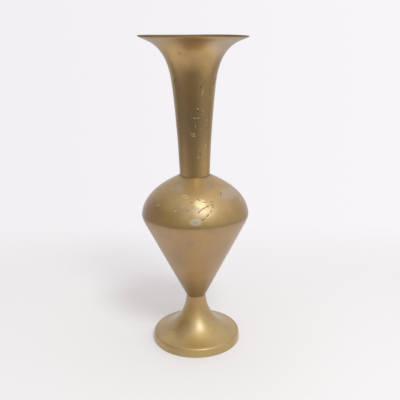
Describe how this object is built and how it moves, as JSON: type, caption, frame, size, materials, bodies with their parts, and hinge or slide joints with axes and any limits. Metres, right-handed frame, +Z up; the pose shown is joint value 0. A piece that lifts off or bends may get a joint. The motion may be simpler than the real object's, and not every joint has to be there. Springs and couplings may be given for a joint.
{
  "type": "trumpet vase",
  "caption": "Turned brass trumpet vase: a flared mouth and slim tapered neck on a domed, cone-shaped body, carried by a spreading round foot; holds cut stems and stands on a table.",
  "frame": {"origin": "on the turned axis, at the underside of the foot", "axes": "+Z up along the turned axis, -Y the side that the picture shows, +X to its right"},
  "size_m": [0.0878, 0.0878, 0.2546],
  "materials": {
    "neck_brass": "aged satin",
    "shoulder_brass": "aged satin",
    "cone_brass": "aged satin",
    "foot_brass": "aged satin",
    "spelter": "dull, as run",
    "steel_fastening": "zinc plated"
  },
  "bodies": {
    "root": {"trumpet_neck": "neck_brass", "shoulder_shell": "shoulder_brass", "cone_shell": "cone_brass", "pedestal_foot": "foot_brass", "neck_solder_bead": "spelter", "seam_solder_bead": "spelter", "tie_stud": "steel_fastening", "foot_washer": "steel_fastening", "foot_nut": "steel_fastening"}
  },
  "joints": []
}
